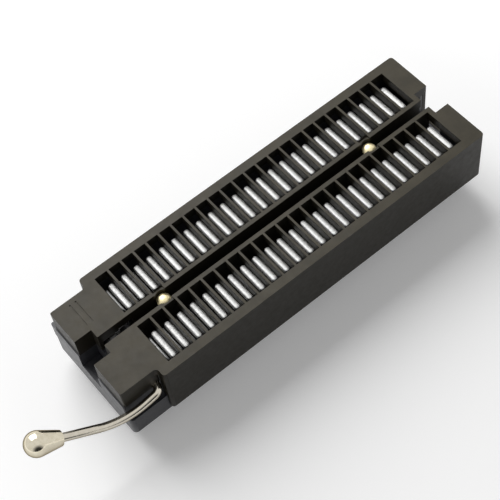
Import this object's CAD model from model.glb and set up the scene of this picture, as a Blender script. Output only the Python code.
"""Looks for the zero-insertion-force socket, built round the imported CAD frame."""

import math

import bmesh
import bpy
import numpy as np
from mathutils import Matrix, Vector


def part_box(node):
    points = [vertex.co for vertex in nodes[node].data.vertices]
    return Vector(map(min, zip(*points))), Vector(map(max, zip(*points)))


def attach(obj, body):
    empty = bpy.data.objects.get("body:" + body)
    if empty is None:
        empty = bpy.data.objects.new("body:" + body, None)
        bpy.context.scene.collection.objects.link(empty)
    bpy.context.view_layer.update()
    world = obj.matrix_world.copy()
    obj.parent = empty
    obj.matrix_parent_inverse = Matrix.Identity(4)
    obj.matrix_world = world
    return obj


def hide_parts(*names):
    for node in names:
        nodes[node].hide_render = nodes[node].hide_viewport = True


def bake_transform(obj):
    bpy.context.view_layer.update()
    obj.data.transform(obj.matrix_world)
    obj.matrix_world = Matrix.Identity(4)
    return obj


MM = 0.001


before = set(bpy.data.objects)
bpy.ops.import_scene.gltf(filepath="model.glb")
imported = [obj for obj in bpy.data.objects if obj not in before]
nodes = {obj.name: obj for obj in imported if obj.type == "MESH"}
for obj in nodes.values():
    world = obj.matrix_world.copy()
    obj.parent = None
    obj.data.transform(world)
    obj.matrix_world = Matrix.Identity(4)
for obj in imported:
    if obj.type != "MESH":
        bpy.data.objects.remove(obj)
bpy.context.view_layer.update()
scene = bpy.context.scene

# ---------- measures of the socket, in millimetres as in the CAD source ----------

PITCH = 2.54
PER_ROW = 24
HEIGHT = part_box("cover")[1][2] / MM
SLAB = 4.7

# strip that the contacts are bent from, and the two leaves of a contact
STRIP = 0.2
STRIP_EDGE = 0.03
BEND_R = 0.25
LEAF_W = 5.0
LEAF_Y = 5.75
FOOT_Z = SLAB - 0.9

# rolled lip at the top of the moving leaf; LIP_FALL is how much lower its top gets
# at the rounded ends, as a share of how much narrower it gets there
LIP_L = 5.7
LIP_W = 1.14
LIP_BEND = 0.38
LIP_CORNER = 0.4
LIP_FALL = 0.35
LIP_HANG = 0.3
LIP_TOP = HEIGHT - 2.0
LIP_Z = LIP_TOP - LIP_BEND

# places of both leaves along the socket, from the middle of their cell
FIXED_X = -0.45
LIP_X = FIXED_X + STRIP + 0.2 + LIP_W / 2
MOVING_X = LIP_X + LIP_W / 2 - STRIP

# flared top of the fixed leaf
FLARE = 0.3
FLARE_H = 0.7
FLARE_Z = LIP_TOP - 0.9
FLARE_CORNER = 0.6

# solder tail, with a short taper at its tip
TAIL_Y = 7.62
TAIL_L = 3.2
TAIL_W = 0.5
TAIL_ROOT = 0.05
TAIL_TIP = 0.6
TAIL_TAPER = 0.12

# the moving leaf bends from the end of the fixed piece up to the comb's top,
# and above that it moves with the comb
JOIN_Z = 4.3


def contact_x(i):
    """Place of the i-th contact of a row along the socket."""
    return (i - (PER_ROW - 1) / 2) * PITCH


# ---------- materials ----------


def new_material(name):
    """An empty node material, its node tree and its Principled shader."""
    mat = bpy.data.materials.new(name)
    mat.use_nodes = True
    return mat, mat.node_tree, mat.node_tree.nodes["Principled BSDF"]


def noise(tree, scale, detail=4.0):
    """Noise over the object's own coordinates, in cycles per metre."""
    coord = tree.nodes.new("ShaderNodeTexCoord")
    tex = tree.nodes.new("ShaderNodeTexNoise")
    tex.inputs["Scale"].default_value = scale
    tex.inputs["Detail"].default_value = detail
    tex.inputs["Roughness"].default_value = 0.6
    tree.links.new(coord.outputs["Object"], tex.inputs["Vector"])
    return tex.outputs["Fac"]


def spread(tree, value, low, high, out_low, out_high):
    """Maps value from low..high to out_low..out_high."""
    node = tree.nodes.new("ShaderNodeMapRange")
    node.inputs["From Min"].default_value = low
    node.inputs["From Max"].default_value = high
    node.inputs["To Min"].default_value = out_low
    node.inputs["To Max"].default_value = out_high
    tree.links.new(value, node.inputs["Value"])
    return node.outputs["Result"]


def blend_colours(tree, value, first, second):
    """Runs from first to second with value; second is a colour or a node's output."""
    node = tree.nodes.new("ShaderNodeMix")
    node.data_type = "RGBA"
    node.inputs["A"].default_value = (*first, 1)
    if isinstance(second, tuple):
        node.inputs["B"].default_value = (*second, 1)
    else:
        tree.links.new(second, node.inputs["B"])
    tree.links.new(value, node.inputs["Factor"])
    return node.outputs["Result"]


def combine(tree, operation, first, second):
    """Result of a math operation, such as MAXIMUM, on two nodes' outputs."""
    node = tree.nodes.new("ShaderNodeMath")
    node.operation = operation
    tree.links.new(first, node.inputs[0])
    tree.links.new(second, node.inputs[1])
    return node.outputs["Value"]


def bump(tree, value, strength, distance):
    """Surface relief from value."""
    node = tree.nodes.new("ShaderNodeBump")
    node.inputs["Strength"].default_value = strength
    node.inputs["Distance"].default_value = distance
    tree.links.new(value, node.inputs["Height"])
    return node.outputs["Normal"]


def moulded_plastic(name, dark, light, rough, gleam, wall=1.0):
    """Glass-filled plastic: faint mottling, fine grain and slightly uneven gloss.

    Upright walls, drawn smooth out of the mould, are darker than the grained top:
    wall is their share of the top's brightness.
    """
    mat, tree, shader = new_material(name)
    cloud = spread(tree, noise(tree, 260), 0.35, 0.65, 0, 1)
    face = tree.nodes.new("ShaderNodeNewGeometry")
    up = tree.nodes.new("ShaderNodeSeparateXYZ")
    tree.links.new(face.outputs["Normal"], up.inputs["Vector"])
    top = spread(tree, up.outputs["Z"], 0.5, 0.9, 0, 1)
    wall_colour = tuple(wall * (d + v) / 2 for d, v in zip(dark, light))
    top_colour = blend_colours(tree, cloud, dark, light)
    tree.links.new(blend_colours(tree, top, wall_colour, top_colour), shader.inputs["Base Color"])
    gloss = spread(tree, noise(tree, 900), 0.3, 0.7, rough - 0.05, rough + 0.07)
    tree.links.new(gloss, shader.inputs["Roughness"])
    tree.links.new(bump(tree, noise(tree, 9000, 3), 0.25, 0.00002), shader.inputs["Normal"])
    shader.inputs["Specular IOR Level"].default_value = gleam
    return mat


def metal(name, dark, light, rough, scale=1500, relief=0.1, edge=(1, 1, 1)):
    """Metal with a faintly uneven finish; edge tints what it reflects at a grazing angle."""
    mat, tree, shader = new_material(name)
    cloud = spread(tree, noise(tree, scale), 0.35, 0.65, 0, 1)
    tree.links.new(blend_colours(tree, cloud, dark, light), shader.inputs["Base Color"])
    shader.inputs["Metallic"].default_value = 1.0
    shader.inputs["Specular Tint"].default_value = (*edge, 1)
    gloss = spread(tree, noise(tree, scale * 2), 0.3, 0.7, rough * 0.8, rough * 1.25)
    tree.links.new(gloss, shader.inputs["Roughness"])
    tree.links.new(bump(tree, noise(tree, scale * 4, 2), relief, 0.00001), shader.inputs["Normal"])
    return mat


COVER_PLASTIC = moulded_plastic(
    "cover_plastic", (0.036, 0.031, 0.02), (0.052, 0.0446, 0.029), rough=0.42, gleam=0.2, wall=0.4)
BASE_PLASTIC = moulded_plastic(
    "base_plastic", (0.03, 0.031, 0.036), (0.041, 0.042, 0.049), rough=0.36, gleam=0.4)
COMB_PLASTIC = moulded_plastic(
    "comb_plastic", (0.012, 0.012, 0.013), (0.018, 0.018, 0.019), rough=0.45, gleam=0.3)
STEEL = metal(
    "polished_steel", (0.54, 0.5, 0.42), (0.6, 0.56, 0.48), rough=0.16, relief=0.03,
    edge=(0.25, 0.22, 0.18))
CAM_STEEL = metal("turned_steel", (0.4, 0.4, 0.41), (0.52, 0.52, 0.53), rough=0.3)
NICKEL = metal(
    "nickel", (0.6, 0.55, 0.43), (0.66, 0.61, 0.49), rough=0.13, relief=0.02,
    edge=(0.16, 0.13, 0.09))
BRASS = metal("brass", (0.8, 0.7, 0.42), (0.88, 0.79, 0.52), rough=0.45)
TIN = metal("tin_plate", (0.5, 0.5, 0.49), (0.64, 0.64, 0.63), rough=0.55, scale=2200, relief=0.2)

# ---------- nodes carried over from the CAD frame ----------

# node, its material and the width of its softened edges in millimetres, 0 for the CAD's own
DRESS = (
    ("cover", COVER_PLASTIC, 0.07),
    ("base", BASE_PLASTIC, 0.1),
    ("slider", COMB_PLASTIC, 0.05),
    ("cam", CAM_STEEL, 0),
    ("lever_wire", STEEL, 0),
    ("lever_knob", NICKEL, 0),
    ("rivets", BRASS, 0),
)


def soften(obj, width):
    """Rounds a CAD node's sharp edges a little, so that they catch the light."""
    flat = obj.modifiers.new("flat", "DECIMATE")
    flat.decimate_type = "DISSOLVE"
    flat.angle_limit = math.radians(1)
    edge = obj.modifiers.new("edge", "BEVEL")
    edge.width = width * MM
    edge.segments = 2
    edge.limit_method = "ANGLE"
    edge.angle_limit = math.radians(35)
    edge.harden_normals = False


def dress_nodes():
    """Gives the CAD nodes their materials and soft edges."""
    for name, material, edge_width in DRESS:
        obj = nodes[name]
        obj.data.materials.clear()
        obj.data.materials.append(material)
        weld = obj.modifiers.new("weld", "WELD")
        weld.merge_threshold = 0.000002
        if edge_width:
            soften(obj, edge_width)


# ---------- shapes ----------


def rounded(corners, radius, steps=6):
    """The polyline through corners, with an arc of that radius at each inner corner."""
    points = [np.array(corners[0], float)]
    for before, corner, after in zip(corners, corners[1:], corners[2:]):
        before, corner, after = (np.array(p, float) for p in (before, corner, after))
        back = (before - corner) / np.linalg.norm(before - corner)
        on = (after - corner) / np.linalg.norm(after - corner)
        half = math.acos(max(-1, min(1, float(back @ on)))) / 2
        reach = radius / math.tan(half)
        middle = corner + (back + on) / np.linalg.norm(back + on) * radius / math.sin(half)
        first, last = corner + back * reach - middle, corner + on * reach - middle
        for k in range(steps + 1):
            blend = first * (1 - k / steps) + last * k / steps
            points.append(middle + blend / np.linalg.norm(blend) * radius)
    points.append(np.array(corners[-1], float))
    return points


def stepped(points, longest):
    """points with extra ones, so that no step is longer than longest."""
    out = [points[0]]
    for a, b in zip(points, points[1:]):
        n = max(1, math.ceil(np.linalg.norm(b - a) / longest))
        out += [a + (b - a) * k / n for k in range(1, n + 1)]
    return out


def loft(mesh, rings):
    """Skins a row of rings of equally many points, in millimetres, and closes both ends."""
    rows = [[mesh.verts.new(Vector(p) * MM) for p in ring] for ring in rings]
    for a, b in zip(rows, rows[1:]):
        for k in range(len(a)):
            n = (k + 1) % len(a)
            mesh.faces.new((a[k], a[n], b[n], b[k]))
    mesh.faces.new(rows[0][::-1])
    mesh.faces.new(rows[-1])


def strip(mesh, line, half_width, place):
    """Metal strip with broken edges, whose middle follows line, a row of (x, z).

    half_width(run) is half its width after that length, and place puts (x, y, z)
    where it belongs.
    """
    rings, run = [], 0.0
    for k, p in enumerate(line):
        ahead = line[min(k + 1, len(line) - 1)] - line[max(k - 1, 0)]
        across = np.array((-ahead[1], ahead[0])) / np.linalg.norm(ahead)
        if k:
            run += float(np.linalg.norm(p - line[k - 1]))
        w, t, e = half_width(run), STRIP / 2, STRIP_EDGE
        corners = [
            (-w, t - e), (-w + e, t), (w - e, t), (w, t - e),
            (w, e - t), (w - e, -t), (e - w, -t), (-w, e - t),
        ]
        rings.append([place(p[0] + across[0] * v, u, p[1] + across[1] * v) for u, v in corners])
    loft(mesh, rings)


def finish_mesh(mesh, name, material):
    """Turns a bmesh into a shown object, smooth where it bends by less than 40 degrees."""
    bmesh.ops.recalc_face_normals(mesh, faces=mesh.faces)
    data = bpy.data.meshes.new(name)
    mesh.to_mesh(data)
    mesh.free()
    data.shade_smooth()
    data.set_sharp_from_angle(angle=math.radians(40))
    data.materials.append(material)
    obj = bpy.data.objects.new(name, data)
    scene.collection.objects.link(obj)
    return obj


# ---------- contacts ----------


def lip_profile(wide, high, steps=16):
    """Upper half of a flattened round, from its right side over the top to its left side."""
    out = []
    for k in range(steps + 1):
        a = math.pi * k / steps
        x = math.copysign(abs(math.cos(a)) ** 0.6, math.cos(a)) * wide
        out.append((x, math.sin(a) ** 0.8 * high))
    return out


def lip(mesh, place):
    """Rolled lip: half a flattened tube, open below, whose corners are rounded in plan."""
    straight = LIP_L / 2 - LIP_CORNER
    corner_angles = (18, 36, 52, 66, 78, 86, 90)
    ends = [straight + LIP_CORNER * math.sin(math.radians(a)) for a in corner_angles]
    rings = []
    for y in [-e for e in reversed(ends)] + [-straight, 0.0, straight] + ends:
        past = max(0.0, abs(y) - straight)
        inset = LIP_CORNER - math.sqrt(max(0.0, LIP_CORNER ** 2 - past ** 2))
        wide, high = LIP_W / 2 - inset, LIP_BEND - inset * LIP_FALL
        outer = lip_profile(wide, high) + [(-wide, -LIP_HANG)]
        wide, high = wide * (1 - 2 * STRIP / LIP_W), high - STRIP
        inner = lip_profile(wide, high) + [(-wide, -LIP_HANG)]
        ring = outer + inner[::-1]
        rings.append([place(LIP_X + x, LEAF_Y + y, LIP_Z + z) for x, z in ring])
    loft(mesh, rings)


def leaf_width(run):
    """Half the width of a plain leaf."""
    return LEAF_W / 2


def flared_width(run):
    """Half the width of the fixed leaf, whose top corners are rounded."""
    short = max(0.0, 1 - run / FLARE_CORNER)
    return LEAF_W / 2 - FLARE_CORNER * (1 - math.sqrt(1 - short ** 2))


def tail_width(run):
    """Half the width of the tail, which is narrower at its very tip."""
    return TAIL_W / 2 - (TAIL_TAPER if run > FOOT_Z + TAIL_L - 0.1 else 0)


def contact(number):
    """The fixed leaf of a contact with foot and tail, and the leaf that the comb bends."""
    row, i = divmod(number - 1, PER_ROW)
    side = 1 if row else -1

    def place(x, y, z):
        return contact_x(i) + x, side * y, z

    def leaf_place(x, y, z):
        return place(x, LEAF_Y + y, z)

    def tail_place(x, y, z):
        return place(x, TAIL_Y + y, z)

    left, right, low = FIXED_X + STRIP / 2, MOVING_X + STRIP / 2, FOOT_Z + STRIP / 2
    mesh = bmesh.new()
    top = (left - FLARE, FLARE_Z + FLARE_H)
    line = rounded([top, (left, FLARE_Z), (left, low), (right, low), (right, JOIN_Z)], BEND_R)
    first, rest = stepped(line[:2], 0.08), stepped(line[1:], 2.0)
    strip(mesh, first + rest[1:], flared_width, leaf_place)
    tail = [np.array((0.0, z)) for z in (FOOT_Z + TAIL_ROOT, -TAIL_L + TAIL_TIP, -TAIL_L)]
    strip(mesh, tail, tail_width, tail_place)
    fixed = finish_mesh(mesh, f"contact_{number:02d}_fixed", TIN)
    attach(fixed, "socket")

    mesh = bmesh.new()
    line = [np.array((right, z)) for z in np.linspace(JOIN_Z, LIP_Z, 16)]
    strip(mesh, line, leaf_width, leaf_place)
    lip(mesh, place)
    moving = finish_mesh(mesh, f"contact_{number:02d}_moving", TIN)
    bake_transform(moving)
    for piece in (fixed, moving):
        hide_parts(f"contact_{number:02d}")


# ---------- stage, in metres ----------

FLOOR_HALF = 1.5
FLOOR_GAP = 0.00005
# the floor begins to glow at the first distance from the middle and is full at the second
GLOW_FROM, GLOW_TO = 0.05, 0.25
GLOW_LOW, GLOW_HIGH = 0.2, 0.9
LAMP_PLACE = (0.02, 0.4, 0.43)
LAMP_SIZE = 0.5
LAMP_POWER = 3.6
WORLD_LIGHT = 0.23
# dark screen that only reflections see: its direction, where it starts and ends
# as the cosine of the angle from there, and its brightness
SCREEN = (-0.3, -0.95, 0.12)
SCREEN_RIM, SCREEN_CORE = 0.66, 0.93
SCREEN_LEVEL = 0.04
CAMERA_TURN = (58.32, 57.78, 8.9)
CAMERA_TARGET = (-7.5, -0.8, 9.0)
CAMERA_DISTANCE = 0.21376
CAMERA_LENS = 95
CAMERA_SENSOR = 36


def shown_rays(tree):
    """1 for rays that show the background, straight or mirrored, 0 for rays that light things."""
    path = tree.nodes.new("ShaderNodeLightPath")
    shown = path.outputs["Is Camera Ray"]
    for ray in ("Is Glossy Ray", "Is Transmission Ray"):
        shown = combine(tree, "MAXIMUM", shown, path.outputs[ray])
    return shown


def make_floor():
    """Pale floor under the tails, with the socket's shadow.

    Farther out, where the lamp no longer reaches, it shows white.
    """
    mat, tree, shader = new_material("floor_paper")
    shader.inputs["Base Color"].default_value = (0.9, 0.9, 0.9, 1)
    shader.inputs["Roughness"].default_value = 0.9
    shader.inputs["Specular IOR Level"].default_value = 0.1
    shader.inputs["Emission Color"].default_value = (1, 1, 1, 1)
    coord = tree.nodes.new("ShaderNodeTexCoord")
    away = tree.nodes.new("ShaderNodeVectorMath")
    away.operation = "LENGTH"
    tree.links.new(coord.outputs["Object"], away.inputs[0])
    glow = spread(tree, away.outputs["Value"], GLOW_FROM, GLOW_TO, GLOW_LOW, GLOW_HIGH)
    strength = combine(tree, "MULTIPLY", glow, shown_rays(tree))
    tree.links.new(strength, shader.inputs["Emission Strength"])
    low = min(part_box(f"contact_{i:02d}")[0][2] for i in range(1, 2 * PER_ROW + 1))
    mesh = bmesh.new()
    bmesh.ops.create_grid(mesh, x_segments=1, y_segments=1, size=FLOOR_HALF)
    floor = finish_mesh(mesh, "floor", mat)
    floor.location = (0, 0, low - FLOOR_GAP)


def make_lamp():
    """Soft square lamp, high on the far side, that looks at the socket."""
    data = bpy.data.lights.new("key_lamp", "AREA")
    data.shape = "SQUARE"
    data.size = LAMP_SIZE
    data.energy = LAMP_POWER
    obj = bpy.data.objects.new("key_lamp", data)
    obj.location = LAMP_PLACE
    obj.rotation_euler = (-Vector(LAMP_PLACE)).to_track_quat("-Z", "Y").to_euler()
    scene.collection.objects.link(obj)


def make_world():
    """Pale world that shows white behind everything and in reflections."""
    world = bpy.data.worlds.new("studio")
    scene.world = world
    world.use_nodes = True
    tree = world.node_tree
    back = tree.nodes["Background"]
    back.inputs["Color"].default_value = (1, 1, 1, 1)
    path = tree.nodes.new("ShaderNodeLightPath")
    coord = tree.nodes.new("ShaderNodeTexCoord")
    toward = tree.nodes.new("ShaderNodeVectorMath")
    toward.operation = "DOT_PRODUCT"
    toward.inputs[1].default_value = Vector(SCREEN).normalized()
    tree.links.new(coord.outputs["Generated"], toward.inputs[0])
    screen = spread(tree, toward.outputs["Value"], SCREEN_RIM, SCREEN_CORE, 1.0, SCREEN_LEVEL)
    shown = combine(tree, "MAXIMUM", screen, path.outputs["Is Camera Ray"])
    level = tree.nodes.new("ShaderNodeMix")
    level.inputs["A"].default_value = WORLD_LIGHT
    tree.links.new(shown_rays(tree), level.inputs["Factor"])
    tree.links.new(shown, level.inputs["B"])
    tree.links.new(level.outputs["Result"], back.inputs["Strength"])


def make_camera():
    """Camera on the lever's side, high above the near end of the socket."""
    data = bpy.data.cameras.new("camera")
    data.sensor_width = CAMERA_SENSOR
    data.lens = CAMERA_LENS
    data.clip_start = 0.01
    obj = bpy.data.objects.new("camera", data)
    scene.collection.objects.link(obj)
    scene.camera = obj
    azimuth, elevation, roll = map(math.radians, CAMERA_TURN)
    target = Vector(CAMERA_TARGET) * MM
    look = Vector((
        math.cos(azimuth) * math.cos(elevation),
        math.sin(azimuth) * math.cos(elevation),
        -math.sin(elevation),
    ))
    obj.location = target - look * CAMERA_DISTANCE
    obj.rotation_euler = look.to_track_quat("-Z", "Y").to_euler()
    obj.rotation_euler.rotate_axis("Z", -roll)


scene.view_settings.view_transform = "Standard"
make_camera()
dress_nodes()
for number in range(1, 2 * PER_ROW + 1):
    contact(number)
make_floor()
make_lamp()
make_world()
